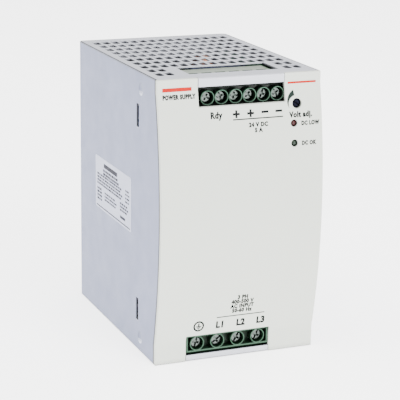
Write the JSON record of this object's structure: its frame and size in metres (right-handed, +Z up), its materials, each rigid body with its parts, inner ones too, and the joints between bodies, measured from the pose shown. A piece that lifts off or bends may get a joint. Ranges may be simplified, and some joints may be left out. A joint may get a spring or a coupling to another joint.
{
  "type": "din rail power supply",
  "caption": "Tall box-shaped power supply for a mounting rail, with vented metal case, crowned plastic front, screw terminals above and below, two lamps and a trimmer.",
  "frame": {"origin": "on the base, at the middle of the overall width and depth", "axes": "+X to the right seen from the front, +Y towards the rail, +Z up; the front face looks along -Y"},
  "size_m": [0.0744, 0.1188, 0.124],
  "materials": {
    "sheet_metal": "satin",
    "vent_metal": "satin",
    "front_plastic": "fine matt",
    "label": "satin film",
    "insulator": "satin film",
    "zinc_steel": "zinc plated",
    "dark_plastic": "matt",
    "spring_steel": "bright",
    "board": "solder mask",
    "brass": "satin",
    "terminal_green": "satin",
    "terminal_light_green": "satin",
    "screw_steel": "nickel plated",
    "trimmer_blue": "matt",
    "trimmer_black": "matt",
    "lens_red": "tinted, unlit",
    "lens_green": "tinted, unlit",
    "fuse_body": "glazed",
    "varistor_blue": "epoxy",
    "ferrite": "sintered",
    "copper": "enamelled copper wire",
    "film_capacitor": "satin",
    "black_epoxy": "satin",
    "capacitor_sleeve": "shrink sleeve",
    "heat_sink": "extruded",
    "winding_tape": "polyester tape",
    "relay_case": "satin"
  },
  "bodies": {
    "root": {"chassis": "sheet_metal", "top_vent_panel": "vent_metal", "bottom_vent_panel": "vent_metal", "front_cover": "front_plastic", "rating_label": "label", "insulation_sheet": "insulator", "countersunk_screws": "zinc_steel", "rail_bracket": "dark_plastic", "latch_spring": "spring_steel", "main_pcb": "board", "terminal_pcb": "board", "indicator_pcb": "board", "board_standoffs": "brass", "board_screws": "zinc_steel", "board_links": "black_epoxy", "output_block": "terminal_green", "output_contacts": "brass", "input_block": "terminal_light_green", "input_contacts": "brass", "trimmer_body": "trimmer_blue", "lamp_dc_low": "lens_red", "lamp_dc_ok": "lens_green", "input_fuses": "fuse_body", "varistors": "varistor_blue", "choke_core": "ferrite", "choke_windings": "copper", "x_capacitors": "film_capacitor", "bridge_rectifier": "black_epoxy", "bulk_capacitors": "capacitor_sleeve", "primary_heat_sink": "heat_sink", "power_transistors": "black_epoxy", "transformer_core": "ferrite", "transformer_winding": "winding_tape", "secondary_heat_sink": "heat_sink", "output_rectifiers": "black_epoxy", "output_choke": "copper", "output_capacitors": "capacitor_sleeve", "ready_relay": "relay_case"},
    "output_screw_1": {"output_screw_1": "screw_steel"},
    "output_clamp_1": {"output_clamp_1": "zinc_steel"},
    "output_screw_2": {"output_screw_2": "screw_steel"},
    "output_clamp_2": {"output_clamp_2": "zinc_steel"},
    "output_screw_3": {"output_screw_3": "screw_steel"},
    "output_clamp_3": {"output_clamp_3": "zinc_steel"},
    "output_screw_4": {"output_screw_4": "screw_steel"},
    "output_clamp_4": {"output_clamp_4": "zinc_steel"},
    "output_screw_5": {"output_screw_5": "screw_steel"},
    "output_clamp_5": {"output_clamp_5": "zinc_steel"},
    "output_screw_6": {"output_screw_6": "screw_steel"},
    "output_clamp_6": {"output_clamp_6": "zinc_steel"},
    "input_screw_1": {"input_screw_1": "screw_steel"},
    "input_clamp_1": {"input_clamp_1": "zinc_steel"},
    "input_screw_2": {"input_screw_2": "screw_steel"},
    "input_clamp_2": {"input_clamp_2": "zinc_steel"},
    "input_screw_3": {"input_screw_3": "screw_steel"},
    "input_clamp_3": {"input_clamp_3": "zinc_steel"},
    "input_screw_4": {"input_screw_4": "screw_steel"},
    "input_clamp_4": {"input_clamp_4": "zinc_steel"},
    "rail_latch": {"rail_latch": "zinc_steel"},
    "trimmer_rotor": {"trimmer_rotor": "trimmer_black"}
  },
  "joints": [
    {"name": "output_screw_1_turn", "type": "hinge", "parent": "root", "child": "output_screw_1", "pos_m": [-0.01468, -0.0509, 0.1154], "axis": [0, 1, 0], "range_deg": [0, 2521]},
    {"name": "output_clamp_1_slide", "type": "slide", "parent": "root", "child": "output_clamp_1", "axis": [0, -1, 0], "range_m": [0, 0.0035]},
    {"name": "output_screw_2_turn", "type": "hinge", "parent": "root", "child": "output_screw_2", "pos_m": [-0.00833, -0.0509, 0.1154], "axis": [0, 1, 0], "range_deg": [0, 2521]},
    {"name": "output_clamp_2_slide", "type": "slide", "parent": "root", "child": "output_clamp_2", "axis": [0, -1, 0], "range_m": [0, 0.0035]},
    {"name": "output_screw_3_turn", "type": "hinge", "parent": "root", "child": "output_screw_3", "pos_m": [-0.00198, -0.0509, 0.1154], "axis": [0, 1, 0], "range_deg": [0, 2521]},
    {"name": "output_clamp_3_slide", "type": "slide", "parent": "root", "child": "output_clamp_3", "axis": [0, -1, 0], "range_m": [0, 0.0035]},
    {"name": "output_screw_4_turn", "type": "hinge", "parent": "root", "child": "output_screw_4", "pos_m": [0.00438, -0.0509, 0.1154], "axis": [0, 1, 0], "range_deg": [0, 2521]},
    {"name": "output_clamp_4_slide", "type": "slide", "parent": "root", "child": "output_clamp_4", "axis": [0, -1, 0], "range_m": [0, 0.0035]},
    {"name": "output_screw_5_turn", "type": "hinge", "parent": "root", "child": "output_screw_5", "pos_m": [0.01073, -0.0509, 0.1154], "axis": [0, 1, 0], "range_deg": [0, 2521]},
    {"name": "output_clamp_5_slide", "type": "slide", "parent": "root", "child": "output_clamp_5", "axis": [0, -1, 0], "range_m": [0, 0.0035]},
    {"name": "output_screw_6_turn", "type": "hinge", "parent": "root", "child": "output_screw_6", "pos_m": [0.01707, -0.0509, 0.1154], "axis": [0, 1, 0], "range_deg": [0, 2521]},
    {"name": "output_clamp_6_slide", "type": "slide", "parent": "root", "child": "output_clamp_6", "axis": [0, -1, 0], "range_m": [0, 0.0035]},
    {"name": "input_screw_1_turn", "type": "hinge", "parent": "root", "child": "input_screw_1", "pos_m": [-0.01755, -0.0509, 0.0076], "axis": [0, 1, 0], "range_deg": [0, 1801]},
    {"name": "input_clamp_1_slide", "type": "slide", "parent": "root", "child": "input_clamp_1", "axis": [0, -1, 0], "range_m": [0, 0.0035]},
    {"name": "input_screw_2_turn", "type": "hinge", "parent": "root", "child": "input_screw_2", "pos_m": [-0.00805, -0.0509, 0.0076], "axis": [0, 1, 0], "range_deg": [0, 1801]},
    {"name": "input_clamp_2_slide", "type": "slide", "parent": "root", "child": "input_clamp_2", "axis": [0, -1, 0], "range_m": [0, 0.0035]},
    {"name": "input_screw_3_turn", "type": "hinge", "parent": "root", "child": "input_screw_3", "pos_m": [0.00145, -0.0509, 0.0076], "axis": [0, 1, 0], "range_deg": [0, 1801]},
    {"name": "input_clamp_3_slide", "type": "slide", "parent": "root", "child": "input_clamp_3", "axis": [0, -1, 0], "range_m": [0, 0.0035]},
    {"name": "input_screw_4_turn", "type": "hinge", "parent": "root", "child": "input_screw_4", "pos_m": [0.01095, -0.0509, 0.0076], "axis": [0, 1, 0], "range_deg": [0, 1801]},
    {"name": "input_clamp_4_slide", "type": "slide", "parent": "root", "child": "input_clamp_4", "axis": [0, -1, 0], "range_m": [0, 0.0035]},
    {"name": "latch_slide", "type": "slide", "parent": "root", "child": "rail_latch", "axis": [0, 0, -1], "range_m": [0, 0.0055], "stiffness_N_per_m": 900, "springref_m": -0.005, "deforming": ["latch_spring"]},
    {"name": "trimmer_turn", "type": "hinge", "parent": "root", "child": "trimmer_rotor", "pos_m": [0.0256, -0.0534, 0.1109], "axis": [0, 1, 0], "range_deg": [-135, 135]}
  ],
  "couplings": [
    {"joint": "output_screw_1_turn", "follows": "output_clamp_1_slide", "rad_per_m": 12566},
    {"joint": "output_screw_2_turn", "follows": "output_clamp_2_slide", "rad_per_m": 12566},
    {"joint": "output_screw_3_turn", "follows": "output_clamp_3_slide", "rad_per_m": 12566},
    {"joint": "output_screw_4_turn", "follows": "output_clamp_4_slide", "rad_per_m": 12566},
    {"joint": "output_screw_5_turn", "follows": "output_clamp_5_slide", "rad_per_m": 12566},
    {"joint": "output_screw_6_turn", "follows": "output_clamp_6_slide", "rad_per_m": 12566},
    {"joint": "input_screw_1_turn", "follows": "input_clamp_1_slide", "rad_per_m": 8976},
    {"joint": "input_screw_2_turn", "follows": "input_clamp_2_slide", "rad_per_m": 8976},
    {"joint": "input_screw_3_turn", "follows": "input_clamp_3_slide", "rad_per_m": 8976},
    {"joint": "input_screw_4_turn", "follows": "input_clamp_4_slide", "rad_per_m": 8976}
  ]
}
